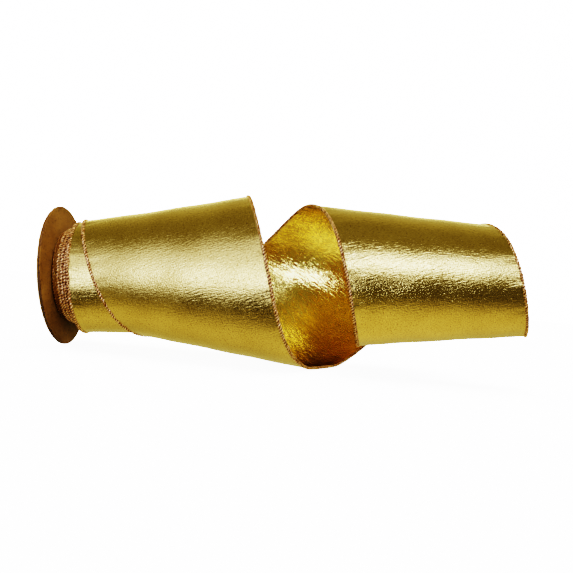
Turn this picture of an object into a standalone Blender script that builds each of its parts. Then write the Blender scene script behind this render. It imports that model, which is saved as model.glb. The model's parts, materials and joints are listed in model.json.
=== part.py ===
"""A cardboard spool of wired-edge ribbon, its outer turns drawn off sideways into an open spiral.

The spool frame has +X along the spool's axis, from the left flange's inner face towards the
right flange, -Y to the front and +Z up. The winding angle is 0 at the front, 90 below,
180 at the back and 270 on top, and grows along the ribbon towards its free end.
The spool frame leans by LEAN, so that the left flange's rim and the lowest place of the
drawn ribbon both stand on Z = 0.
"""
import math

import bmesh
import bpy
import numpy as np

MM = 0.001

# Spool
FLANGE_RADIUS = 42.5 * MM
FLANGE_THICKNESS = 1.5 * MM
INNER_WIDTH = 108.0 * MM          # between the two flanges
CORE_BORE_RADIUS = 17.0 * MM
CORE_RADIUS = 18.6 * MM
CURL_RADIUS = 21.9 * MM           # the core's ends are rolled out over the flanges
CURL_THICKNESS = 0.5 * MM
FACING_INNER_RADIUS = 22.3 * MM
FACING_RADIUS = 41.5 * MM
FACING_THICKNESS = 0.6 * MM
GAP = 0.3 * MM                    # between neighbours that touch

# Ribbon still wound on the spool
RIBBON_WIDTH = 101.6 * MM
ROLL_START_X = 1.2 * MM
ROLL_INNER_RADIUS = 19.5 * MM
ROLL_RADIUS = 27.3 * MM
TURN_COUNT = 5
TURN_THICKNESS = 0.45 * MM
TURN_SHIFT = 2.3 * MM             # each outer turn has crept this far to the right
TURN_END_CLEARANCE = 0.8 * MM     # from a turn's right edge to the right flange
TAPE_THICKNESS = 0.3 * MM
TAPE_LENGTH = 24.0 * MM
TAPE_ARC = 80.0                   # degrees round the core

# Drawn-off ribbon
SHEET_THICKNESS = 0.6 * MM
WIRE_RADIUS = 0.4 * MM
SELVEDGE_INSET = 1.2 * MM         # from the wire's centre to the sheet's edge
START_ANGLE = -450.0
SPLIT_ANGLE = 228.0
END_ANGLE = 442.0
SPLIT_GAP = 0.5                   # degrees between the two lengths of ribbon
# winding angle, left edge x and radius, right edge x and radius in mm, flare exponent
STATIONS = (
    (-450, 8.3, 32.3, 108.1, 43.9, 1.6),
    (-360, 11.3, 32.6, 110.1, 43.9, 1.9),
    (-270, 12.1, 35.2, 111.1, 43.9, 2.6),
    (-180, 11.1, 34.2, 111.1, 44.4, 1.4),
    (-90, 12.2, 33.8, 113.1, 48.2, 1.1),
    (0, 25.7, 34.6, 127.6, 53.0, 1.0),
    (60, 40.8, 36.4, 143.1, 57.5, 1.0),
    (120, 63.0, 39.4, 185.1, 58.0, 1.0),
    (180, 99.1, 45.9, 238.1, 48.5, 1.0),
    (225, 131.1, 45.0, 256.1, 38.0, 1.0),
    (270, 149.1, 43.3, 261.1, 31.5, 1.0),
    (315, 161.1, 43.8, 265.6, 31.5, 1.0),
    (360, 169.1, 43.8, 270.6, 34.0, 1.0),
    (450, 180.6, 43.5, 285.1, 38.0, 1.0),
)

# Stance
LEAN = math.radians(5.5)
AXIS_HEIGHT = FLANGE_RADIUS * math.cos(LEAN) + FLANGE_THICKNESS * math.sin(LEAN)
MIDDLE_X = 140.0 * MM             # the middle of the whole, along X from the spool frame's origin
MIDDLE_Y = -1.6 * MM              # and along Y
FLOOR_SOFTNESS = 0.8 * MM         # how gently the ribbon flattens where it lies on the floor

# Mesh fineness
TURNED_STEPS = 48
STRIP_STEP = 7.5                  # degrees
STRIP_COLUMNS = 5


def clear_scene():
    for old in list(bpy.data.objects):
        bpy.data.objects.remove(old)


def make_collection(name):
    collection = bpy.data.collections.new(name)
    bpy.context.scene.collection.children.link(collection)
    return collection


def make_material(name, colour, roughness, metallic=0.0):
    material = bpy.data.materials.new(name)
    material.use_nodes = True
    shader = material.node_tree.nodes["Principled BSDF"]
    shader.inputs["Base Color"].default_value = (*colour, 1.0)
    shader.inputs["Roughness"].default_value = roughness
    shader.inputs["Metallic"].default_value = metallic
    return material


def add_object(name, data, material, parent, collection):
    data.materials.append(material)
    piece = bpy.data.objects.new(name, data)
    piece.parent = parent
    collection.objects.link(piece)
    return piece


def add_empty(name, parent, collection):
    empty = bpy.data.objects.new(name, None)
    empty.empty_display_size = 0.02
    empty.parent = parent
    collection.objects.link(empty)
    return empty


def turned(name, profile, material, parent, collection):
    """Turn a closed outline of (radius, x) corners round the spool's axis."""
    mesh = bpy.data.meshes.new(name)
    corners = [(radius, 0.0, x) for radius, x in profile]
    edges = [(i, (i + 1) % len(corners)) for i in range(len(corners))]
    mesh.from_pydata(corners, edges, [])
    piece = add_object(name, mesh, material, parent, collection)
    piece.rotation_euler.y = math.radians(90.0)
    screw = piece.modifiers.new("turn", 'SCREW')
    screw.axis = 'Z'
    screw.angle = math.radians(360.0)
    screw.steps = TURNED_STEPS
    screw.render_steps = TURNED_STEPS
    screw.use_merge_vertices = True
    screw.merge_threshold = 0.00001
    screw.use_smooth_shade = False
    return piece


def ring_profile(inner_radius, outer_radius, low_x, high_x):
    """Corners of a plain ring: down its outer side, then up its bore."""
    return [(outer_radius, high_x), (outer_radius, low_x), (inner_radius, low_x), (inner_radius, high_x)]


def natural_spline(knots, values, queries):
    """Values at the queries on the natural cubic spline through the knots."""
    count = len(knots)
    spans = np.diff(knots)
    matrix = np.eye(count)
    right_side = np.zeros(count)
    for i in range(1, count - 1):
        matrix[i, i - 1:i + 2] = spans[i - 1], 2.0 * (spans[i - 1] + spans[i]), spans[i]
        slope_change = (values[i + 1] - values[i]) / spans[i] - (values[i] - values[i - 1]) / spans[i - 1]
        right_side[i] = 6.0 * slope_change
    bends = np.linalg.solve(matrix, right_side)
    index = np.clip(np.searchsorted(knots, queries) - 1, 0, count - 2)
    span = spans[index]
    before = knots[index + 1] - queries
    after = queries - knots[index]
    cubic = (bends[index] * before ** 3 + bends[index + 1] * after ** 3) / (6.0 * span)
    start = (values[index] / span - bends[index] * span / 6.0) * before
    end = (values[index + 1] / span - bends[index + 1] * span / 6.0) * after
    return cubic + start + end


def ribbon_rulings(angles):
    """Left x, left radius, right x, right radius and flare at each winding angle."""
    table = np.array(STATIONS, dtype=float)
    columns = [natural_spline(table[:, 0], table[:, k], angles) for k in range(1, 6)]
    return [column * MM for column in columns[:4]] + [columns[4]]


def above_floor(x, z, margin):
    """Height in the leaning frame, held softly at least a margin above the floor."""
    floor = (margin - AXIS_HEIGHT - x * math.sin(LEAN)) / math.cos(LEAN)
    height = z - floor
    return floor + 0.5 * (height + math.sqrt(height * height + FLOOR_SOFTNESS ** 2))


def ribbon_point(angle, x, radius, margin):
    turn = math.radians(angle)
    return (x, -radius * math.cos(turn), above_floor(x, -radius * math.sin(turn), margin))


def strip_angles(start, end):
    steps = max(2, round((end - start) / STRIP_STEP))
    return np.linspace(start, end, steps + 1)


def ribbon_strip(name, start, end, material, parent, collection):
    """A length of the ribbon between its selvedges: a lofted sheet given its thickness."""
    angles = strip_angles(start, end)
    left_x, left_radius, right_x, right_radius, flare = ribbon_rulings(angles)
    sheet = bmesh.new()
    rows = []
    for i, angle in enumerate(angles):
        inset = SELVEDGE_INSET / (right_x[i] - left_x[i])
        row = []
        for across in np.linspace(inset, 1.0 - inset, STRIP_COLUMNS + 1):
            x = left_x[i] + (right_x[i] - left_x[i]) * across
            radius = left_radius[i] + (right_radius[i] - left_radius[i]) * across ** flare[i]
            row.append(sheet.verts.new(ribbon_point(angle, x, radius, SHEET_THICKNESS / 2.0)))
        rows.append(row)
    for row, next_row in zip(rows, rows[1:]):
        for j in range(STRIP_COLUMNS):
            sheet.faces.new((row[j], next_row[j], next_row[j + 1], row[j + 1]))
    mesh = bpy.data.meshes.new(name)
    sheet.to_mesh(mesh)
    sheet.free()
    mesh.shade_smooth()
    piece = add_object(name, mesh, material, parent, collection)
    solidify = piece.modifiers.new("thickness", 'SOLIDIFY')
    solidify.thickness = SHEET_THICKNESS
    solidify.offset = 0.0
    return piece


def selvedge(name, side, start, end, material, parent, collection):
    """The wire in its overlocked thread along one edge of a length of ribbon."""
    angles = strip_angles(start, end)
    left_x, left_radius, right_x, right_radius, _ = ribbon_rulings(angles)
    x, radius = (left_x, left_radius) if side == "left" else (right_x, right_radius)
    curve = bpy.data.curves.new(name, 'CURVE')
    curve.dimensions = '3D'
    curve.bevel_depth = WIRE_RADIUS
    curve.bevel_resolution = 1
    curve.use_fill_caps = True
    spline = curve.splines.new('POLY')
    spline.points.add(len(angles) - 1)
    for i, angle in enumerate(angles):
        spline.points[i].co = (*ribbon_point(angle, x[i], radius[i], WIRE_RADIUS), 1.0)
    return add_object(name, curve, material, parent, collection)


def make_flanges(card, parent, collection):
    bore = CORE_RADIUS + GAP
    turned("left_flange", ring_profile(bore, FLANGE_RADIUS, -FLANGE_THICKNESS, 0.0), card, parent, collection)
    outer_x = INNER_WIDTH + FLANGE_THICKNESS
    turned("right_flange", ring_profile(bore, FLANGE_RADIUS, INNER_WIDTH, outer_x), card, parent, collection)


def make_facings(paper, parent, collection):
    near = FLANGE_THICKNESS + GAP
    far = near + FACING_THICKNESS
    turned("left_facing", ring_profile(FACING_INNER_RADIUS, FACING_RADIUS, -far, -near),
           paper, parent, collection)
    turned("right_facing", ring_profile(FACING_INNER_RADIUS, FACING_RADIUS, INNER_WIDTH + near,
                                        INNER_WIDTH + far), paper, parent, collection)


def make_core(paper, parent, collection):
    """A paper tube whose ends are rolled out over the flanges' outer faces."""
    low = -(FLANGE_THICKNESS + GAP)
    high = INNER_WIDTH + FLANGE_THICKNESS + GAP
    profile = [
        (CURL_RADIUS, high + CURL_THICKNESS),
        (CURL_RADIUS, high),
        (CORE_RADIUS, high),
        (CORE_RADIUS, low),
        (CURL_RADIUS, low),
        (CURL_RADIUS, low - CURL_THICKNESS),
        (CORE_BORE_RADIUS, low - CURL_THICKNESS),
        (CORE_BORE_RADIUS, high + CURL_THICKNESS),
    ]
    turned("core_tube", profile, paper, parent, collection)


def make_core_tape(tape, parent, collection):
    """The strip of tape that holds the ribbon's inner end to the core."""
    mesh = bpy.data.meshes.new("core_tape")
    radius = CORE_RADIUS + GAP
    middle = INNER_WIDTH / 2.0
    mesh.from_pydata([(radius, 0.0, middle + TAPE_LENGTH / 2.0), (radius, 0.0, middle - TAPE_LENGTH / 2.0)],
                     [(0, 1)], [])
    piece = add_object("core_tape", mesh, tape, parent, collection)
    piece.rotation_euler.y = math.radians(90.0)
    screw = piece.modifiers.new("wrap", 'SCREW')
    screw.axis = 'Z'
    screw.angle = math.radians(TAPE_ARC)
    screw.steps = 12
    screw.render_steps = 12
    solidify = piece.modifiers.new("thickness", 'SOLIDIFY')
    solidify.thickness = TAPE_THICKNESS
    solidify.offset = 1.0
    return piece


def make_roll(gold, parent, collection):
    """The tight roll and, outside it, the last wound turns, each crept further to the right."""
    end_x = ROLL_START_X + RIBBON_WIDTH
    turned("wound_roll", ring_profile(ROLL_INNER_RADIUS, ROLL_RADIUS, ROLL_START_X, end_x),
           gold, parent, collection)
    for turn in range(1, TURN_COUNT + 1):
        inner = ROLL_RADIUS + GAP + (turn - 1) * (TURN_THICKNESS + GAP)
        start_x = ROLL_START_X + turn * TURN_SHIFT
        turn_end = min(start_x + RIBBON_WIDTH, INNER_WIDTH - TURN_END_CLEARANCE)
        turned(f"roll_turn_{turn}", ring_profile(inner, inner + TURN_THICKNESS, start_x, turn_end),
               gold, parent, collection)


def make_ribbon(prefix, start, end, gold, thread, parent, collection):
    ribbon_strip(f"{prefix}_ribbon", start, end, gold, parent, collection)
    for side in ("left", "right"):
        selvedge(f"{prefix}_{side}_selvedge", side, start, end, thread, parent, collection)


def main():
    clear_scene()
    collection = make_collection("ribbon_spool")
    card = make_material("chipboard", (0.23, 0.12, 0.03), 0.85)
    paper = make_material("kraft_paper", (0.34, 0.22, 0.10), 0.8)
    tape = make_material("clear_tape", (0.75, 0.70, 0.58), 0.35)
    gold = make_material("gold_ribbon", (0.62, 0.43, 0.08), 0.3, 1.0)
    thread = make_material("selvedge_thread", (0.50, 0.26, 0.10), 0.35, 0.9)

    spool_frame = add_empty("spool_frame", None, collection)
    spool_frame.location = (-MIDDLE_X, -MIDDLE_Y, AXIS_HEIGHT)
    spool_frame.rotation_euler.y = -LEAN
    spool_axis = add_empty("spool_axis", spool_frame, collection)
    tail_slide = add_empty("tail_slide", spool_frame, collection)

    make_flanges(card, spool_axis, collection)
    make_facings(paper, spool_axis, collection)
    make_core(paper, spool_axis, collection)
    make_core_tape(tape, spool_axis, collection)
    make_roll(gold, spool_axis, collection)
    make_ribbon("drawn", START_ANGLE, SPLIT_ANGLE - SPLIT_GAP / 2.0, gold, thread, spool_frame, collection)
    make_ribbon("tail", SPLIT_ANGLE + SPLIT_GAP / 2.0, END_ANGLE, gold, thread, tail_slide, collection)


main()
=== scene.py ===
"""Looks for the ribbon spool: a gold lame ribbon with copper selvedges on a chipboard spool."""

import json
import math

import bpy
import numpy as np
from mathutils import Matrix, Vector


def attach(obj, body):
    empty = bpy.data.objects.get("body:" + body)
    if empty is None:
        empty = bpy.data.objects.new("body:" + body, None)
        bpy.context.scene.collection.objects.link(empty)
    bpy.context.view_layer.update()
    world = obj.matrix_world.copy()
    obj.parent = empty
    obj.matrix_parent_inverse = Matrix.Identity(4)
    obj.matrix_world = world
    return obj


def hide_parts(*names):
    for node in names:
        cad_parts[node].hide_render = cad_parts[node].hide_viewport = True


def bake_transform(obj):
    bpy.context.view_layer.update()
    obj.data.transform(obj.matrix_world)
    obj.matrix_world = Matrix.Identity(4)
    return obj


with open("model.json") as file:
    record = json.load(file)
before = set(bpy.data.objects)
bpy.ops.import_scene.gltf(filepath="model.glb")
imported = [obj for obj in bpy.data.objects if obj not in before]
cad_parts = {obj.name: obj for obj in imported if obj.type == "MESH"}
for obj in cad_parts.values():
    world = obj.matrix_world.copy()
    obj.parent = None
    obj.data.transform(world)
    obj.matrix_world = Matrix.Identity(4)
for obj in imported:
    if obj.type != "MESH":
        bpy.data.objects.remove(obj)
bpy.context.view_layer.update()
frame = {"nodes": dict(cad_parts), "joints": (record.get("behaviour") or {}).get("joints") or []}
MM = 0.001

# ---------------------------------------------------------------- the frame's own measures
spin = next(joint for joint in frame["joints"] if joint["name"] == "spool_spin")
AXIS = Vector(spin["axis"]).normalized()
CENTRE = Vector(spin["pos_m"])                 # left flange's inner face, on the spool's axis
LEAN = math.atan2(AXIS.z, AXIS.x)
UP = Vector((-AXIS.z, 0.0, AXIS.x))
SPOOL = Matrix.Translation(CENTRE) @ Matrix((
    (AXIS.x, 0.0, UP.x, 0.0),
    (0.0, 1.0, 0.0, 0.0),
    (AXIS.z, 0.0, UP.z, 0.0),
    (0.0, 0.0, 0.0, 1.0)))
TO_SPOOL = SPOOL.inverted()


def node_extent(node):
    """Lowest x, highest x and outer radius of a turned CAD node, along the spool's axis."""
    points = [TO_SPOOL @ vertex.co for vertex in frame["nodes"][node].data.vertices]
    return min(p.x for p in points), max(p.x for p in points), max(math.hypot(p.y, p.z) for p in points)


def node_bore(node):
    """Smallest radius of a turned CAD node."""
    points = [TO_SPOOL @ vertex.co for vertex in frame["nodes"][node].data.vertices]
    return min(math.hypot(p.y, p.z) for p in points)


# ---------------------------------------------------------------- the ribbon's route, as the CAD has it
RIBBON_WIDTH = 101.6 * MM
START_ANGLE = -450.0
BACK_ANGLE = 135.0                # the back stretch reaches from here
TOP_ANGLE = 270.0                 # to here
END_ANGLE = 442.0
# winding angle, left edge x and radius, right edge x and radius in mm, flare exponent
STATIONS = (
    (-450, 8.3, 32.3, 108.1, 43.9, 1.6),
    (-360, 11.3, 32.6, 110.1, 43.9, 1.9),
    (-270, 12.1, 35.2, 111.1, 43.9, 2.6),
    (-180, 11.1, 34.2, 111.1, 44.4, 1.4),
    (-90, 12.2, 33.8, 113.1, 48.2, 1.1),
    (0, 25.7, 34.6, 127.6, 53.0, 1.0),
    (60, 40.8, 36.4, 143.1, 57.5, 1.0),
    (120, 63.0, 39.4, 185.1, 58.0, 1.0),
    (180, 99.1, 45.9, 238.1, 48.5, 1.0),
    (225, 131.1, 45.0, 256.1, 38.0, 1.0),
    (270, 149.1, 43.3, 261.1, 31.5, 1.0),
    (315, 161.1, 43.8, 265.6, 31.5, 1.0),
    (360, 169.1, 43.8, 270.6, 34.0, 1.0),
    (450, 180.6, 43.5, 285.1, 38.0, 1.0),
)
FLOOR_SOFTNESS = 0.8 * MM         # how gently the ribbon flattens where it lies on the floor

# ---------------------------------------------------------------- fineness and small sizes
ROW_STEP = 1.5                     # degrees between the ribbon's rows
COLUMNS = 44                       # quads across the ribbon
COLUMN_CROWDING = 0.85             # below 1, the columns lie closer together near the edges
CLOTH_THICKNESS = 0.30 * MM
ROPE_RADIUS = 0.95 * MM            # a selvedge: its wire and the thread round it
TIGHT_ROPE_RADIUS = 0.55 * MM      # a selvedge pressed between its neighbours
ROPE_INSET = 0.8 * MM              # from the ribbon's edge to the middle of its selvedge
ROPE_PITCH = 3.6 * MM
ROPE_STEP = 0.30 * MM
ROPE_SIDES = 12
ROPE_FLATNESS = 1.2                # its width over its thickness
ROPE_GROOVE = 0.42                 # depth between its lobes, as a share of its radius
THREAD_WAVES = ((9.7, 0.3), (4.1, 0.4), (2.3, 0.3))      # wavelength in mm and share
PUCKER_WAVES = ((26.3, 0.30), (11.7, 0.34), (7.1, 0.22), (4.9, 0.14))
PUCKER_DEPTH = 0.30 * MM           # along the wired edges
PUCKER_REACH = 7.0 * MM
SWELL_DEPTH = 0.28 * MM            # in the middle of the cloth
SWELL_LENGTH = 83.0 * MM
CALM_HEIGHT = 3.0 * MM             # from this height down, both fade out towards the floor
TURN_SEGMENTS = 240                # round the discs, facings and slack turns
DISC_WARP = 0.12 * MM              # a saddle shape, as pressed card has
DISC_BEND = {"left": 1.2 * MM, "right": -0.4 * MM}   # how far a disc's rim leans out of its plane
DISC_ROUNDING = 0.25 * MM
GAP = 0.3 * MM                     # the CAD's gap between neighbours that touch
LAYERS = 8                         # selvedges that show in each end of the tight roll
LAYER_DRIFT = ((2, 1.0, 1.0), (3, 0.6, 2.3), (5, 0.5, 1.0))   # waves a turn, share, twist
SLACK_DRIFT = ((2, 1.0, 1.0),)
SLACK_WANDER = 0.22 * MM           # how far a slack turn's left edge strays along the axis
SLACK_REACH = 9.0 * MM             # how far from the edge that dies away

# ---------------------------------------------------------------- studio
WARM = (1.0, 0.92, 0.45)           # gold-lined reflectors
SAND = (1.05, 0.95, 0.62)          # the table's bounce
COOL = (0.84, 0.99, 1.70)          # the softbox and the white card
KEY = 7.8                          # the softbox in front
SPILL = 1.5                        # a fainter white above it on the left
CARD = 15.0                        # a small white card low in front
BELOW = 0.50                       # the table's bounce
GLOW = 0.9                         # a small card under the middle
AMBIENT = 0.24                     # the reflectors all round
BEHIND = 0.35                      # how much brighter they are behind
REAR = 2.0                         # a lit reflector behind
SHADE = 0.13                       # how much darker the studio is low on both sides
WHITE = 12.0                       # the wall, for the camera only
FLOOR_GLOW = 4.5                   # the table top, for the camera only
OVERHEAD = 17.0                    # the two lamps, for matt surfaces only
FRONT_FILL = 5.0
STAGE_RADIUS = 3.0
STAGE_SIDES = 64
LENS = 40.2
CAMERA_PLACE = Vector((136.7, -396.8, -6.94)) * MM     # in the spool's frame


# ================================================================ materials
class Graph:
    """A node tree, with short ways to add and join its nodes."""

    def __init__(self, tree):
        self.tree = tree

    def add(self, kind, **settings):
        node = self.tree.nodes.new(kind)
        for key, value in settings.items():
            setattr(node, key, value)
        return node

    def join(self, source, target):
        self.tree.links.new(source, target)

    def math(self, operation, first, second=0.0):
        node = self.add("ShaderNodeMath", operation=operation)
        for socket, value in zip(node.inputs, (first, second)):
            if isinstance(value, (int, float)):
                socket.default_value = value
            else:
                self.join(value, socket)
        return node.outputs["Value"]


class Nodes(Graph):
    """A material's node tree."""

    def __init__(self, name):
        self.material = bpy.data.materials.new(name)
        self.material.use_nodes = True
        super().__init__(self.material.node_tree)
        self.shader = self.tree.nodes["Principled BSDF"]

    def set(self, **values):
        for key, value in values.items():
            self.shader.inputs[key.replace("_", " ")].default_value = value

    def coordinates(self, output, scale=(1.0, 1.0, 1.0)):
        place = self.add("ShaderNodeTexCoord")
        mapping = self.add("ShaderNodeMapping")
        mapping.inputs["Scale"].default_value = scale
        self.join(place.outputs[output], mapping.inputs["Vector"])
        return mapping.outputs["Vector"]

    def noise(self, vector, scale, detail=3.0, roughness=0.55, distortion=0.0):
        node = self.add("ShaderNodeTexNoise")
        node.inputs["Scale"].default_value = scale
        node.inputs["Detail"].default_value = detail
        node.inputs["Roughness"].default_value = roughness
        node.inputs["Distortion"].default_value = distortion
        self.join(vector, node.inputs["Vector"])
        return node.outputs["Fac"]

    def wave(self, vector, scale, direction, distortion=0.0):
        node = self.add("ShaderNodeTexWave", bands_direction=direction)
        node.inputs["Scale"].default_value = scale
        node.inputs["Distortion"].default_value = distortion
        self.join(vector, node.inputs["Vector"])
        return node.outputs["Fac"]

    def ramp(self, factor, stops):
        node = self.add("ShaderNodeValToRGB")
        elements = node.color_ramp.elements
        while len(elements) < len(stops):
            elements.new(0.5)
        for element, (position, colour) in zip(elements, stops):
            element.position = position
            element.color = (*colour, 1.0)
        self.join(factor, node.inputs["Fac"])
        return node.outputs["Color"]

    def spread(self, factor, low, high):
        node = self.add("ShaderNodeMapRange")
        node.inputs["To Min"].default_value = low
        node.inputs["To Max"].default_value = high
        self.join(factor, node.inputs["Value"])
        return node.outputs["Result"]

    def multiply(self, first, second):
        """The product of two colours."""
        node = self.add("ShaderNodeMix", data_type='RGBA', blend_type='MULTIPLY')
        node.inputs["Factor"].default_value = 1.0
        self.join(first, node.inputs[6])
        self.join(second, node.inputs[7])
        return node.outputs[2]

    def bump(self, height, strength, distance, under=None):
        node = self.add("ShaderNodeBump")
        node.inputs["Strength"].default_value = strength
        node.inputs["Distance"].default_value = distance
        self.join(height, node.inputs["Height"])
        if under is not None:
            self.join(under, node.inputs["Normal"])
        return node.outputs["Normal"]


def lame_material(name, deep, bright, gloss, rough, crease_scale, crease_depth):
    """Metallic woven ribbon: crossing threads too fine to count, and a crinkled, speckled gloss."""
    m = Nodes(name)
    metres = m.coordinates("UV")
    weft = m.wave(metres, 320.0, 'X', 1.5)
    warp = m.wave(metres, 320.0, 'Y', 1.5)
    weave = m.math('MULTIPLY', weft, warp)
    creases = m.noise(m.coordinates("UV", crease_scale), 1.0, 2.0, 0.6, 0.4)
    dimples = m.noise(metres, 1150.0, 1.0, 0.5)
    speckle = m.noise(metres, 1500.0, 1.0, 0.5)
    pores = m.noise(m.coordinates("UV", (1300.0, 1000.0, 1.0)), 1.0, 0.0)
    cloud = m.noise(metres, 60.0, 2.0)
    tone = m.math('ADD', m.math('MULTIPLY', speckle, 0.7), m.math('MULTIPLY', cloud, 0.3))
    gold = m.ramp(tone, ((0.36, deep), (0.62, bright)))
    holes = m.ramp(pores, ((0.25, (0.62, 0.56, 0.46)), (0.34, (1.0, 1.0, 1.0))))
    m.join(m.multiply(gold, holes), m.shader.inputs["Base Color"])
    m.join(m.spread(speckle, gloss, rough), m.shader.inputs["Roughness"])
    low = m.bump(creases, 1.0, crease_depth)
    middle = m.bump(dimples, 1.0, 0.08 * MM, low)
    fine = m.bump(weave, 0.3, 0.05 * MM, middle)
    m.join(fine, m.shader.inputs["Normal"])
    m.set(Metallic=1.0)
    return m.material


def thread_material():
    """Copper metallic thread with glints; its colour is painted paler on the crests of its windings as a
    painted highlight, and darker in the grooves as painted shade.
    """
    m = Nodes("copper_thread")
    place = m.add("ShaderNodeTexCoord")
    split = m.add("ShaderNodeSeparateXYZ")
    m.join(place.outputs["UV"], split.inputs["Vector"])
    crest = m.math('COSINE', m.math('MULTIPLY', split.outputs["Y"], 2.0 * math.pi), 0.0)
    glint = m.noise(m.coordinates("Object"), 1300.0, 2.0)
    patch = m.noise(m.coordinates("UV", (850.0, 1.4, 1.0)), 1.0, 1.0)
    speckle = m.math('ADD', m.math('MULTIPLY', glint, 0.55), m.math('MULTIPLY', patch, 0.45))
    # The crest term paints a highlight on the crests of the windings and shade in the grooves.
    tone = m.math('ADD', m.math('MULTIPLY', crest, 0.11), speckle)
    colours = ((0.36, (0.07, 0.022, 0.004)), (0.50, (0.42, 0.180, 0.045)), (0.62, (0.88, 0.57, 0.27)))
    m.join(m.ramp(tone, colours), m.shader.inputs["Base Color"])
    m.join(m.spread(glint, 0.45, 0.22), m.shader.inputs["Roughness"])
    fine = m.wave(place.outputs["UV"], 1.0, 'Y', 0.0)
    strands = m.math('ADD', m.noise(m.coordinates("Object"), 2600.0, 1.0), fine)
    m.join(m.bump(strands, 0.6, 0.09 * MM), m.shader.inputs["Normal"])
    m.set(Metallic=0.9)
    return m.material


def card_material(name, dark, light, fibre_scale=420.0, grain=0.5):
    """Pressed chipboard or kraft paper: blotches, short fibres and dark flecks."""
    m = Nodes(name)
    metres = m.coordinates("Object")
    stretched = m.coordinates("Object", (1.0, 0.35, 1.6))
    blotch = m.noise(metres, 55.0, 3.0)
    fibre = m.noise(stretched, fibre_scale, 4.0, 0.65, 1.2)
    tone = m.math('ADD', m.math('MULTIPLY', blotch, 1.0 - grain), m.math('MULTIPLY', fibre, grain))
    colour = m.ramp(tone, ((0.34, dark), (0.66, light)))
    flecks = m.ramp(m.noise(metres, 900.0, 0.0), ((0.24, (0.45, 0.38, 0.30)), (0.33, (1.0, 1.0, 1.0))))
    m.join(m.multiply(colour, flecks), m.shader.inputs["Base Color"])
    m.join(m.spread(fibre, 0.62, 0.9), m.shader.inputs["Roughness"])
    m.join(m.bump(fibre, 0.5, 0.2 * MM), m.shader.inputs["Normal"])
    m.set(Specular_IOR_Level=0.10)
    return m.material


def tape_material():
    m = Nodes("yellowed_tape")
    metres = m.coordinates("Object")
    age = m.noise(metres, 120.0, 3.0)
    yellow = m.ramp(age, ((0.35, (0.62, 0.50, 0.30)), (0.65, (0.78, 0.70, 0.50))))
    m.join(yellow, m.shader.inputs["Base Color"])
    m.join(m.spread(age, 0.2, 0.4), m.shader.inputs["Roughness"])
    return m.material


GOLD = lame_material("gold_lame", (0.52, 0.350, 0.090), (0.70, 0.505, 0.155), 0.10, 0.27,
                     (1200.0, 240.0, 1.0), 0.165 * MM)
# The reverse is a brighter gold than the face: painted light, standing in for light bounced round inside the
# curls.
REVERSE_WITH_PAINTED_LIGHT = lame_material("gold_lame_reverse_painted_light", (0.60, 0.42, 0.09), (0.96, 0.75, 0.23), 0.08, 0.18,
                        (700.0, 150.0, 1.0), 0.30 * MM)
COPPER = thread_material()
CHIPBOARD = card_material("brown_chipboard", (0.060, 0.024, 0.003), (0.114, 0.054, 0.010))
CARD_EDGE = card_material("chipboard_edge", (0.018, 0.008, 0.002), (0.060, 0.027, 0.007), 900.0, 0.8)
KRAFT = card_material("kraft_paper", (0.26, 0.15, 0.06), (0.42, 0.27, 0.13))
TAPE = tape_material()


# ================================================================ the ribbon's surface
def natural_spline(knots, values, queries):
    """Values at the queries on the natural cubic spline through the knots."""
    count = len(knots)
    spans = np.diff(knots)
    matrix = np.eye(count)
    right_side = np.zeros(count)
    for i in range(1, count - 1):
        matrix[i, i - 1:i + 2] = spans[i - 1], 2.0 * (spans[i - 1] + spans[i]), spans[i]
        slope_change = (values[i + 1] - values[i]) / spans[i] - (values[i] - values[i - 1]) / spans[i - 1]
        right_side[i] = 6.0 * slope_change
    bends = np.linalg.solve(matrix, right_side)
    index = np.clip(np.searchsorted(knots, queries) - 1, 0, count - 2)
    span = spans[index]
    before = knots[index + 1] - queries
    after = queries - knots[index]
    cubic = (bends[index] * before ** 3 + bends[index + 1] * after ** 3) / (6.0 * span)
    start = (values[index] / span - bends[index] * span / 6.0) * before
    end = (values[index + 1] / span - bends[index + 1] * span / 6.0) * after
    return cubic + start + end


def route(angles):
    """Left x, left radius, right x, right radius and flare at each winding angle."""
    table = np.array(STATIONS, dtype=float)
    columns = [natural_spline(table[:, 0], table[:, k], angles) for k in range(1, 6)]
    return [column * MM for column in columns[:4]] + [columns[4]]


def floor_height(x, margin=0.0):
    """Height in the spool's frame of the places a margin above the floor."""
    return (margin - CENTRE.z - x * math.sin(LEAN)) / math.cos(LEAN)


def above_floor(x, z, margin):
    """Heights in the spool's frame, held softly at least a margin above the floor."""
    floor = floor_height(x, margin)
    height = z - floor
    return floor + 0.5 * (height + np.sqrt(height * height + FLOOR_SOFTNESS ** 2))


def surface(angles, across, margin):
    """Grid of points of the ribbon's middle layer, in the spool's frame."""
    left_x, left_radius, right_x, right_radius, flare = (column[:, None] for column in route(angles))
    v = across[None, :]
    x = left_x + (right_x - left_x) * v
    radius = left_radius + (right_radius - left_radius) * v ** flare
    turn = np.radians(angles)[:, None]
    z = above_floor(x, -radius * np.sin(turn), margin)
    return np.stack([x, -radius * np.cos(turn), z], axis=2)


def path_lengths(path):
    """The length along a path at each of its points."""
    return np.concatenate([[0.0], np.cumsum(np.linalg.norm(np.diff(path, axis=0), axis=1))])


def waves(along, table, seed, total=None):
    """A wave between about -1 and 1 along a length; it comes out even over the total, if there is one."""
    height = np.zeros_like(along)
    for i, (wavelength, share) in enumerate(table):
        wavelength *= MM
        if total is not None:
            wavelength = total / max(1, round(total / wavelength))
        height += share * np.sin(2.0 * math.pi * along / wavelength + seed * (1.7 + i) + 2.1 * i)
    return height


def column_places():
    """Places across the cloth, as shares of the ribbon's width."""
    even = np.linspace(0.0, 1.0, COLUMNS + 1)
    across = 0.5 - 0.5 * np.sign(0.5 - even) * np.abs(2.0 * even - 1.0) ** COLUMN_CROWDING
    inset = 0.3 * ROPE_RADIUS / RIBBON_WIDTH
    return inset + (1.0 - 2.0 * inset) * across


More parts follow.
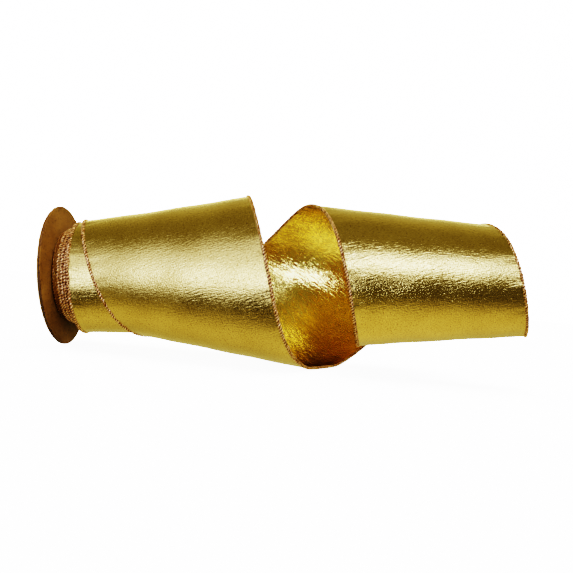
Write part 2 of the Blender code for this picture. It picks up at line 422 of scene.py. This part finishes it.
def outward_normals(points):
    """Unit normals of a grid, away from the spool's axis."""
    normals = np.cross(np.gradient(points, axis=0), np.gradient(points, axis=1))
    normals /= np.linalg.norm(normals, axis=2, keepdims=True)
    outward = np.sign(np.sum(normals[:, :, 1:] * points[:, :, 1:], axis=2, keepdims=True))
    return normals * np.where(np.median(outward) < 0, -1.0, 1.0)


def flat_places(points):
    """Length along and distance across the flat cloth, at each point of the grid."""
    middle = points[:, COLUMNS // 2]
    ruling = points[:, -1] - points[:, 0]
    ruling /= np.linalg.norm(ruling, axis=1, keepdims=True)
    heading = np.gradient(middle, axis=0)
    heading /= np.linalg.norm(heading, axis=1, keepdims=True)
    slant = np.sum(ruling * heading, axis=1)[:, None]
    reach = np.sum((points - middle[:, None]) * ruling[:, None], axis=2)
    along = path_lengths(middle)[:, None] + reach * slant
    return along, 0.5 * RIBBON_WIDTH + reach * np.sqrt(1.0 - slant ** 2)


def relief(points, along, across):
    """How far the cloth stands off its smooth surface: puckers along the wires and a slight swell."""
    from_left = across[None, :] * RIBBON_WIDTH
    from_right = RIBBON_WIDTH - from_left
    pucker = (waves(along, PUCKER_WAVES, 1.0) * np.exp(-from_left / PUCKER_REACH)
              + waves(along, PUCKER_WAVES, 4.0) * np.exp(-from_right / PUCKER_REACH))
    swell = np.sin(along * 2.0 * math.pi / SWELL_LENGTH + 6.0 * across) * np.sin(across * 9.4 + along * 31.0)
    swell *= np.sin(math.pi * across) ** 0.5
    calm = np.clip((points[:, :, 2] - floor_height(points[:, :, 0])) / CALM_HEIGHT, 0.0, 1.0)
    return (PUCKER_DEPTH * pucker + SWELL_DEPTH * swell) * calm


def build_ribbon(angles):
    """The drawn-off ribbon as four grids: places, unit normals, and length and distance in the flat cloth."""
    across = column_places()
    points = surface(angles, across, CLOTH_THICKNESS / 2.0)
    normals = outward_normals(points)
    along, distance = flat_places(points)
    lift = relief(points, along, across)[:, :, None]
    return points + normals * lift, normals, along, distance


def to_world(points):
    """Points of the spool's frame in the shared frame."""
    matrix = np.array(SPOOL)
    return points @ matrix[:3, :3].T + matrix[:3, 3]


def mesh_object(name, points, faces, material, uv=None, smooth_angle=40.0):
    """A smooth-shaded object; uv holds one place for each point."""
    mesh = bpy.data.meshes.new(name)
    mesh.from_pydata(points.tolist(), [], faces)
    if uv is not None:
        layer = mesh.uv_layers.new(name="metres")
        corners = np.array([loop.vertex_index for loop in mesh.loops])
        layer.data.foreach_set("uv", uv[corners].astype(np.float32).ravel())
    mesh.shade_smooth()
    mesh.set_sharp_from_angle(angle=math.radians(smooth_angle))
    mesh.materials.append(material)
    piece = bpy.data.objects.new(name, mesh)
    bpy.context.scene.collection.objects.link(piece)
    return piece


def grid_rim(rows, columns):
    """The numbers of a grid's outermost points, in order round it."""
    near = list(range(columns))
    right = [i * columns + columns - 1 for i in range(1, rows)]
    far = [(rows - 1) * columns + j for j in range(columns - 2, -1, -1)]
    left = [i * columns for i in range(rows - 2, 0, -1)]
    return near + right + far + left


def cloth_piece(name, grid):
    """A closed sheet of cloth, with the gold side outside and its reverse inside; the reverse's brighter gold
    is painted light.
    """
    points, normals, along, distance = grid
    offset = normals * (CLOTH_THICKNESS / 2.0)
    rows, columns = along.shape
    outer = to_world((points + offset).reshape(-1, 3))
    inner = to_world((points - offset).reshape(-1, 3))
    uv = np.stack([along.ravel(), distance.ravel()], axis=1)
    count = rows * columns
    faces = []
    for i in range(rows - 1):
        for a in range(i * columns, (i + 1) * columns - 1):
            b = a + columns
            faces.append((a, b, b + 1, a + 1))
            faces.append((count + a, count + a + 1, count + b + 1, count + b))
    inner_faces = range(1, len(faces), 2)
    rim = grid_rim(rows, columns)
    for a, b in zip(rim, rim[1:] + rim[:1]):
        faces.append((a, b, count + b, count + a))
    piece = mesh_object(name, np.concatenate([outer, inner]), faces, GOLD, np.concatenate([uv, uv]))
    # The inner faces get the reverse, whose brighter gold is painted light.
    piece.data.materials.append(REVERSE_WITH_PAINTED_LIGHT)
    for k in inner_faces:
        piece.data.polygons[k].material_index = 1
    return piece


def resample(path, step):
    """Points evenly spaced along a path, and the length along it at each of them."""
    lengths = path_lengths(path)
    count = max(8, int(round(lengths[-1] / step)))
    spots = np.linspace(0.0, lengths[-1], count + 1)
    return np.stack([np.interp(spots, lengths, path[:, k]) for k in range(3)], axis=1), spots


def rope_path(path, closed, step):
    """Centres, lengths along, unit tangents, total length and thread pitch of an edge."""
    centres, spots = resample(path, step)
    if closed:
        centres, spots = centres[:-1], spots[:-1]
        total = spots[-1] + spots[1]
        pitch = total / round(total / ROPE_PITCH)
        tangents = np.roll(centres, -1, axis=0) - np.roll(centres, 1, axis=0)
    else:
        total = spots[-1]
        pitch = ROPE_PITCH
        tangents = np.gradient(centres, axis=0)
    tangents /= np.linalg.norm(tangents, axis=1, keepdims=True)
    return centres, spots, tangents, total, pitch


def rope_rings(centres, tangents, winding, swelling, radius, sides):
    """Rings of points round the centres, with a lobe of thread on both sides of the winding angle."""
    side = np.cross(tangents, centres * np.array([0.0, 1.0, 1.0]))
    side /= np.linalg.norm(side, axis=1, keepdims=True)
    up = np.cross(side, tangents)
    theta = np.linspace(0.0, 2.0 * math.pi, sides, endpoint=False)[None, :]
    crest = 0.5 + 0.5 * np.cos(2.0 * (theta - winding))
    thick = 1.0 - ROPE_GROOVE * (1.0 - crest ** 0.6) + swelling
    wide = radius * ROPE_FLATNESS
    ring = (radius * thick * np.cos(theta))[:, :, None] * up[:, None, :]
    ring += (wide * thick * np.sin(theta))[:, :, None] * side[:, None, :]
    return to_world((centres[:, None, :] + ring).reshape(-1, 3))


def rope(name, path, closed=False, radius=ROPE_RADIUS, step=ROPE_STEP, sides=ROPE_SIDES, phase=0.0):
    """An overlocked edge: a flattened tube along the path with two lobes of thread winding round it.

    Its UV map holds the length along it and the place across the lobes, a whole number on each crest.
    """
    centres, spots, tangents, total, pitch = rope_path(path, closed, step)
    jitter = 0.8 * waves(spots, THREAD_WAVES, phase + 1.0, total)
    winding = (2.0 * math.pi * spots / pitch + phase + jitter)[:, None]
    swelling = 0.10 * waves(spots, THREAD_WAVES, phase + 3.0, total)[:, None]
    points = rope_rings(centres, tangents, winding, swelling, radius, sides)
    count = len(centres)
    faces = []
    uv = []
    for i in range(count if closed else count - 1):
        k = (i + 1) % count
        near, far = spots[i], spots[i] + step
        near_shift = winding[i, 0] / math.pi
        far_shift = near_shift + 2.0 * step / pitch
        for j in range(sides):
            n = (j + 1) % sides
            faces.append((i * sides + j, i * sides + n, k * sides + n, k * sides + j))
            here, there = 2.0 * j / sides, 2.0 * (j + 1) / sides
            uv += [(near, here - near_shift), (near, there - near_shift),
                   (far, there - far_shift), (far, here - far_shift)]
    if not closed:
        faces.append(tuple(range(sides))[::-1])
        faces.append(tuple((count - 1) * sides + j for j in range(sides)))
        uv += [(0.0, 0.0)] * (2 * sides)
    piece = mesh_object(name, points, faces, COPPER, smooth_angle=80.0)
    layer = piece.data.uv_layers.new(name="thread")
    layer.data.foreach_set("uv", np.array(uv, dtype=np.float32).ravel())
    return piece


def turned(name, profile, material, segments=TURN_SEGMENTS, wobble=None):
    """Turn a closed outline of (radius, x) corners round the spool's axis; wobble moves each place."""
    theta = np.linspace(0.0, 2.0 * math.pi, segments, endpoint=False)
    outline = np.array(profile)
    radius = outline[None, :, 0] + 0.0 * theta[:, None]
    x = outline[None, :, 1] + 0.0 * theta[:, None]
    if wobble is not None:
        radius, x = wobble(theta[:, None], radius, x)
    points = np.stack([x, -radius * np.cos(theta)[:, None], -radius * np.sin(theta)[:, None]], axis=2)
    corners = len(profile)
    faces = []
    for i in range(segments):
        k = (i + 1) % segments
        for j in range(corners):
            n = (j + 1) % corners
            faces.append((i * corners + j, k * corners + j, k * corners + n, i * corners + n))
    arc = theta[:, None] * radius
    uv = np.stack([arc.ravel(), x.ravel()], axis=1)
    return mesh_object(name, to_world(points.reshape(-1, 3)), faces, material, uv)


def circle(radius, x, segments, wander, seed, drift):
    """A closed path round the spool's axis that strays a little along it."""
    theta = np.linspace(0.0, 2.0 * math.pi, segments + 1)
    stray = sum(share * np.sin(count * theta + twist * seed) for count, share, twist in drift)
    return np.stack([x + wander * stray, -radius * np.cos(theta), -radius * np.sin(theta)], axis=1)


def give(piece, body, slot, *nodes):
    """Put a piece on its body, in place of the CAD nodes that it stands for; the slot is not used."""
    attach(piece, body)
    if nodes:
        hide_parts(*nodes)
    return piece


# ================================================================ pieces
def blend_across(piece):
    """Bake the placement of a piece of the back stretch into its mesh."""
    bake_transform(piece)


def make_stretch(name, grid, paths):
    """A length of the drawn-off ribbon: the sheet and its two selvedges."""
    cloth = cloth_piece(name, grid)
    edges = [rope(f"{name}_{side}_selvedge", path) for side, path in zip(("left", "right"), paths)]
    pieces = ((cloth, "gold_ribbon", "ribbon"), (edges[0], "selvedge_thread", "left_selvedge"),
              (edges[1], "selvedge_thread", "right_selvedge"))
    for piece, slot, node in pieces:
        if name == "back_stretch":
            blend_across(piece)
        elif name == "loose_turns":
            give(piece, "drawn_ribbon", slot, f"drawn_{node}")
        else:
            give(piece, "tail", slot, f"tail_{node}")


def make_drawn_ribbon():
    angles = np.arange(START_ANGLE, END_ANGLE + 0.5 * ROW_STEP, ROW_STEP)
    grid = build_ribbon(angles)
    edge = ROPE_INSET / RIBBON_WIDTH
    centres = surface(angles, np.array([edge, 1.0 - edge]), ROPE_RADIUS)
    back, top = (int(round((angle - START_ANGLE) / ROW_STEP)) for angle in (BACK_ANGLE, TOP_ANGLE))
    spans = (("loose_turns", 0, back, "wound_roll"), ("back_stretch", back, top, "loose_turns"),
             ("free_end", top, len(angles) - 1, "loose_turns"))
    for name, first, last, rests in spans:
        part = [layer[first:last + 1] for layer in grid]
        paths = [centres[first:last + 1, side] for side in (0, 1)]
        make_stretch(name, part, paths)


def disc_lean(theta, radius, rim, bend):
    """How far a warped disc leans out of its plane."""
    return (radius / rim) ** 2 * (DISC_WARP * np.sin(2.0 * theta + 0.7) + bend * np.sin(theta))


def make_flanges():
    for side in ("left", "right"):
        low, high, radius = node_extent(f"{side}_flange")
        rings = np.linspace(node_bore(f"{side}_flange"), radius - DISC_ROUNDING, 12)
        profile = [(r, high) for r in rings] + [(radius, high - DISC_ROUNDING), (radius, low + DISC_ROUNDING)]
        profile += [(r, low) for r in rings[::-1]]

        def warp(theta, r, x, rim=radius, bend=DISC_BEND[side]):
            uneven = 0.06 * MM * np.sin(7.0 * theta) * (r / rim) ** 2
            return r + uneven, x + disc_lean(theta, r, rim, bend)

        disc = turned(f"{side}_disc", profile, CHIPBOARD, wobble=warp)
        disc.data.materials.append(CARD_EDGE)
        for face in disc.data.polygons:
            middle = TO_SPOOL @ face.center
            if math.hypot(middle.y, middle.z) > radius - 0.6 * DISC_ROUNDING:
                face.material_index = 1
        give(disc, "spool", "chipboard", f"{side}_flange")


def core_outline(low, high, bore, curl, wall):
    """The tube's outline: its bore, and its ends rolled out over the flanges."""
    flange_low = node_extent("left_flange")[0]
    flange_high = node_extent("right_flange")[1]
    curl_radii = np.linspace(wall, curl, 7)
    lip = 0.2 * MM
    chamfer = 0.3 * MM
    profile = [(r, flange_low - GAP) for r in curl_radii] + [(curl, low + lip), (curl - lip, low)]
    profile += [(r, low) for r in curl_radii[-2::-1]] + [(bore + chamfer, low), (bore, low + chamfer)]
    profile += [(bore, x) for x in np.linspace(low + 2.0 * MM, high - 2.0 * MM, 40)]
    profile += [(bore, high - chamfer), (bore + chamfer, high)]
    profile += [(r, high) for r in curl_radii[:-1]] + [(curl - lip, high), (curl, high - lip)]
    profile += [(r, flange_high + GAP) for r in curl_radii[::-1]]
    profile += [(wall, x) for x in np.linspace(flange_high - 1.0 * MM, flange_low + 1.0 * MM, 40)]
    return profile[::-1]


def make_core():
    """A wound paper tube: a spiral groove in its bore, and pleats in its rolled-out ends."""
    low, high, curl = node_extent("core_tube")
    bore = node_bore("core_tube")
    wall = node_bore("left_flange") - GAP

    def wound_paper(theta, r, x):
        helix = (x / (28.0 * MM) - theta / (2.0 * math.pi)) % 1.0
        groove = 0.12 * MM * np.exp(-((helix - 0.5) / 0.02) ** 2) * (r < bore + 0.1 * MM)
        pleats = np.clip((r - wall) / (curl - wall), 0.0, 1.0) * 0.10 * MM * np.sin(26.0 * theta)
        return r + groove - pleats, x

    tube = turned("paper_core", core_outline(low, high, bore, curl, wall), KRAFT, 288, wound_paper)
    give(tube, "spool", "kraft_paper", "core_tube")


def make_facings():
    """Kraft paper glued on the flanges' outer faces, a little cockled."""
    for side, outward in (("left", -1.0), ("right", 1.0)):
        low, high, radius = node_extent(f"{side}_facing")
        flange_rim = node_extent(f"{side}_flange")[2]
        middle = 0.5 * (low + high)
        rings = np.linspace(node_bore(f"{side}_facing"), radius, 14)
        profile = [(r, high) for r in rings] + [(r, low) for r in rings[::-1]]

        def cockle(theta, r, x, outward=outward, middle=middle, rim=flange_rim, bend=DISC_BEND[side]):
            outer = (x > middle) == (outward > 0)
            wave = 0.05 * MM * (np.sin(5.0 * theta + 300.0 * r) + np.sin(3.0 * theta - 500.0 * r))
            return r, x - outward * outer * np.abs(wave) + disc_lean(theta, r, rim, bend)

        paper = turned(f"{side}_paper_facing", profile, KRAFT, wobble=cockle)
        give(paper, "spool", "kraft_paper", f"{side}_facing")


def make_tape():
    """The strip of tape that holds the ribbon's inner end to the core, with its cutter's teeth."""
    low, high, radius = node_extent("core_tape")
    points = [TO_SPOOL @ vertex.co for vertex in frame["nodes"]["core_tape"].data.vertices]
    turns = np.unwrap(sorted(math.atan2(-p.z, -p.y) for p in points))
    theta = np.linspace(turns[0], turns[-1], 40)
    count = len(theta)
    teeth = np.where(np.arange(count) % 2, 0.0, 0.4 * MM)
    strips = ((radius, low + teeth), (radius, high - teeth),
              (node_bore("core_tape"), high - teeth), (node_bore("core_tape"), low + teeth))
    points = [np.stack([x, -r * np.cos(theta), -r * np.sin(theta)], axis=1) for r, x in strips]
    faces = []
    for band in range(4):
        for i in range(count - 1):
            a = band * count + i
            b = (band + 1) % 4 * count + i
            faces.append((a, a + 1, b + 1, b))
    faces.append(tuple(band * count for band in (0, 1, 2, 3)))
    faces.append(tuple(band * count + count - 1 for band in (3, 2, 1, 0)))
    tape = mesh_object("core_end_tape", to_world(np.concatenate(points)), faces, TAPE)
    give(tape, "spool", "clear_tape", "core_tape")


def make_roll():
    """The tight roll: a gold ring whose ends show the selvedges of its turns."""
    low, high, radius = node_extent("wound_roll")
    bore = node_bore("wound_roll")
    lip = TIGHT_ROPE_RADIUS
    pitch = (radius - bore - 2.0 * lip) / (LAYERS - 1)
    steps = 8
    radii = [bore + (radius - bore) * k / steps for k in range(steps)]
    outer = [(radius, x) for x in np.linspace(high - lip, low + lip, 10)]
    left = [(r, low + lip) for r in radii[::-1]]
    right = [(r, high - lip) for r in radii]
    roll = turned("tight_roll", (outer + left + right)[::-1], GOLD, 180)
    give(roll, "spool", "gold_ribbon", "wound_roll")
    for side, x in (("left", low + lip), ("right", high - lip)):
        for k in range(LAYERS):
            wander = 0.1 * MM * (k < LAYERS - 1)
            path = circle(bore + lip + k * pitch, x, 240, wander, k, LAYER_DRIFT)
            ring = rope(f"tight_roll_{side}_selvedge_{k + 1}", path, closed=True, radius=lip,
                        step=0.45 * MM, sides=8)
            give(ring, "spool", "selvedge_thread")


def make_turns():
    """The last wound turns, thin shells that have crept to the right one after another."""
    for turn in range(1, 6):
        node = f"roll_turn_{turn}"
        low, high, radius = node_extent(node)
        inset = ROPE_RADIUS * ROPE_FLATNESS
        middle = 0.5 * (radius + node_bore(node))
        half = CLOTH_THICKNESS / 2.0
        xs = np.linspace(low + 0.3 * inset, high - 0.3 * inset, 16)
        profile = [(middle - half, x) for x in xs[::-1]] + [(middle + half, x) for x in xs]

        def slack(theta, r, x, turn=turn, low=low):
            edge = np.exp(-(x - low) / SLACK_REACH)
            rise = 0.07 * MM * edge * np.sin(9.0 * theta + 2.0 * turn)
            return r + rise, x + SLACK_WANDER * edge * np.sin(2.0 * theta + turn)

        shell = turned(f"slack_turn_{turn}", profile, GOLD, wobble=slack)
        give(shell, "spool", "gold_ribbon", node)
        left = circle(middle + 0.2 * MM, low + inset, 360, SLACK_WANDER, turn, SLACK_DRIFT)
        right = circle(middle, high - inset, 360, 0.0, turn, SLACK_DRIFT)
        for side, path, thick in (("left", left, ROPE_RADIUS), ("right", right, TIGHT_ROPE_RADIUS)):
            ring = rope(f"slack_turn_{turn}_{side}_selvedge", path, closed=True, radius=thick, phase=turn)
            give(ring, "spool", "selvedge_thread")


# ================================================================ studio
def stage_mesh(name, points, faces, glow):
    """A white surface that glows for the camera alone; the ribbon's gloss sees the sky instead."""
    mesh = bpy.data.meshes.new(name)
    mesh.from_pydata(points, [], faces)
    piece = bpy.data.objects.new(name, mesh)
    bpy.context.scene.collection.objects.link(piece)
    m = Nodes(name)
    m.set(Base_Color=(0.9, 0.9, 0.9, 1.0), Roughness=0.9, Specular_IOR_Level=0.1,
          Emission_Color=(1.0, 1.0, 1.0, 1.0), Emission_Strength=glow)
    mesh.materials.append(m.material)
    piece.visible_glossy = False
    piece.visible_diffuse = False
    return piece


def make_stage():
    """A round white table top with a white wall round it."""
    corners = [(STAGE_RADIUS * math.cos(turn), STAGE_RADIUS * math.sin(turn))
               for turn in np.linspace(0.0, 2.0 * math.pi, STAGE_SIDES, endpoint=False)]
    stage_mesh("floor", [(x, y, 0.0) for x, y in corners], [tuple(range(STAGE_SIDES))], FLOOR_GLOW)
    rim = [(0.97 * x, 0.97 * y, height) for height in (-0.2, STAGE_RADIUS) for x, y in corners]
    pairs = [(k, (k + 1) % STAGE_SIDES) for k in range(STAGE_SIDES)]
    sides = [(k, n, STAGE_SIDES + n, STAGE_SIDES + k) for k, n in pairs]
    wall = stage_mesh("backdrop", rim, sides, WHITE)
    wall.visible_shadow = False


def make_lamp(name, strength, spread, towards):
    """A soft lamp that only matt surfaces show: the table, the cardboard and the paper."""
    light = bpy.data.lights.new(name, 'SUN')
    light.energy = strength
    light.angle = math.radians(spread)
    lamp = bpy.data.objects.new(name, light)
    bpy.context.scene.collection.objects.link(lamp)
    lamp.rotation_euler = Vector(towards).to_track_quat('-Z', 'Y').to_euler()
    lamp.visible_glossy = False


class Sky(Graph):
    """The studio round the object, as brightness by direction: X to the right, Y behind, Z up."""

    def __init__(self):
        world = bpy.data.worlds.new("studio")
        world.use_nodes = True
        bpy.context.scene.world = world
        super().__init__(world.node_tree)
        place = self.add("ShaderNodeTexCoord")
        split = self.add("ShaderNodeSeparateXYZ")
        self.join(place.outputs["Generated"], split.inputs["Vector"])
        self.x, self.y, self.z = (split.outputs[name] for name in "XYZ")
        self.front = self.step(self.y, 0.0, -0.3)

    def step(self, value, dark, full):
        """0 at dark and 1 at full, smooth between them."""
        node = self.add("ShaderNodeMapRange", interpolation_type='SMOOTHSTEP')
        node.inputs["From Min"].default_value = min(dark, full)
        node.inputs["From Max"].default_value = max(dark, full)
        node.inputs["To Min"].default_value = 0.0 if dark < full else 1.0
        node.inputs["To Max"].default_value = 1.0 if dark < full else 0.0
        self.join(value, node.inputs["Value"])
        return node.outputs["Result"]

    def product(self, *factors):
        total = factors[0]
        for factor in factors[1:]:
            total = self.math('MULTIPLY', total, factor)
        return total

    def sum(self, *terms):
        total = terms[0]
        for term in terms[1:]:
            total = self.math('ADD', total, term)
        return total

    def minus(self, value, less):
        return self.math('SUBTRACT', value, less)

    def away(self, value, middle):
        """How far a value is from its middle, to either side."""
        return self.math('ABSOLUTE', self.minus(value, middle))

    def colour(self, brightness, tint):
        node = self.add("ShaderNodeVectorMath", operation='SCALE')
        node.inputs[0].default_value = tint
        self.join(brightness, node.inputs["Scale"])
        return node.outputs["Vector"]

    def mix(self, first, second):
        """The sum of two colours."""
        node = self.add("ShaderNodeVectorMath", operation='ADD')
        self.join(first, node.inputs[0])
        self.join(second, node.inputs[1])
        return node.outputs["Vector"]

    def light(self, colour):
        self.join(colour, self.tree.nodes["Background"].inputs["Color"])


def white_lights(sky):
    """A large softbox in front that slopes up to the right, the spill above it and a low card.

    The softbox and its spill leave a gap straight ahead, as if for the camera and its stand.
    """
    bow = sky.product(sky.x, sky.x, 0.50)
    upper = sky.sum(sky.minus(sky.z, sky.product(sky.x, 0.58)), bow)
    lower = sky.minus(sky.z, sky.product(sky.x, 0.69))
    aside = sky.math('DIVIDE', sky.x, sky.product(sky.y, -1.0))
    beside = sky.step(sky.away(aside, -0.03), 0.22, 0.33)
    box = sky.product(sky.step(upper, 0.56, 0.29), sky.step(lower, -0.16, 0.08),
                      sky.step(sky.x, -0.65, -0.17), sky.step(sky.x, 0.62, 0.28), beside, sky.front, KEY)
    spill = sky.product(sky.step(lower, 1.12, 0.72), sky.step(lower, 0.12, 0.42),
                        sky.step(sky.x, 0.15, -0.15), sky.step(sky.x, -0.95, -0.45), beside, sky.front, SPILL)
    card = sky.product(sky.step(sky.away(sky.z, -0.18), 0.12, 0.05),
                       sky.step(sky.away(sky.x, 0.05), 0.12, 0.05), sky.front, CARD)
    return sky.sum(box, spill, card)


def table_bounce(sky):
    """The lit table below, which reaches higher at the sides, and a small card under the middle."""
    card = sky.product(sky.step(sky.away(sky.x, 0.08), 0.13, 0.06), sky.step(sky.z, -0.72, -0.84),
                       sky.front, GLOW)
    sides = sky.math('MINIMUM', sky.away(sky.x, -0.2), 0.42)
    lean = sky.minus(sky.z, sky.product(sides, 0.45))
    return sky.sum(card, sky.product(sky.step(lean, -0.76, -1.08), sky.step(sky.z, -0.3, -0.6), BELOW))


def warm_reflectors(sky):
    """Gold reflectors all round, with a lit one behind, and darker low in front on both sides."""
    edge = sky.sum(sky.z, sky.minus(sky.x, 0.3))
    right = sky.product(sky.step(sky.x, 0.15, 0.30), sky.step(sky.z, 0.0, -0.15), sky.step(edge, -0.72, -0.5))
    left = sky.product(sky.step(sky.x, -0.10, -0.18), sky.step(sky.x, -0.48, -0.34),
                       sky.step(sky.z, -0.30, -0.45), sky.step(sky.z, -0.99, -0.90), 1.3)
    shade = sky.product(sky.sum(right, left), sky.front, SHADE)
    behind = sky.product(sky.step(sky.y, 0.1, 0.9), BEHIND)
    rear = sky.product(sky.step(sky.y, 0.15, 0.45), sky.step(sky.z, 0.06, 0.20),
                       sky.step(sky.z, 0.50, 0.30), REAR)
    return sky.minus(sky.sum(behind, rear, AMBIENT), shade)


def make_world():
    """All that the ribbon reflects."""
    sky = Sky()
    warm = sky.colour(warm_reflectors(sky), WARM)
    bounce = sky.colour(table_bounce(sky), SAND)
    white = sky.colour(white_lights(sky), COOL)
    sky.light(sky.mix(sky.mix(warm, bounce), white))


def make_camera():
    """Level with the object, across the spool's axis, and rolled with it."""
    data = bpy.data.cameras.new("camera")
    data.sensor_width = 36.0
    data.lens = LENS
    data.clip_start = 0.01
    camera = bpy.data.objects.new("camera", data)
    bpy.context.scene.collection.objects.link(camera)
    right, up, towards = AXIS, UP, Vector((0.0, -1.0, 0.0))
    camera.matrix_world = Matrix.Translation(SPOOL @ CAMERA_PLACE) @ Matrix((
        (right.x, up.x, towards.x, 0.0),
        (right.y, up.y, towards.y, 0.0),
        (right.z, up.z, towards.z, 0.0),
        (0.0, 0.0, 0.0, 1.0)))
    bpy.context.scene.camera = camera


make_camera()
make_drawn_ribbon()
make_flanges()
make_core()
make_facings()
make_tape()
make_roll()
make_turns()
make_stage()
make_lamp("overhead", OVERHEAD, 50.0, (0.0, 0.0, -1.0))
make_lamp("front_fill", FRONT_FILL, 60.0, (-0.55, 0.83, -0.03))
make_world()
view = bpy.context.scene.view_settings
view.view_transform = 'Filmic'
view.look = 'Very High Contrast'
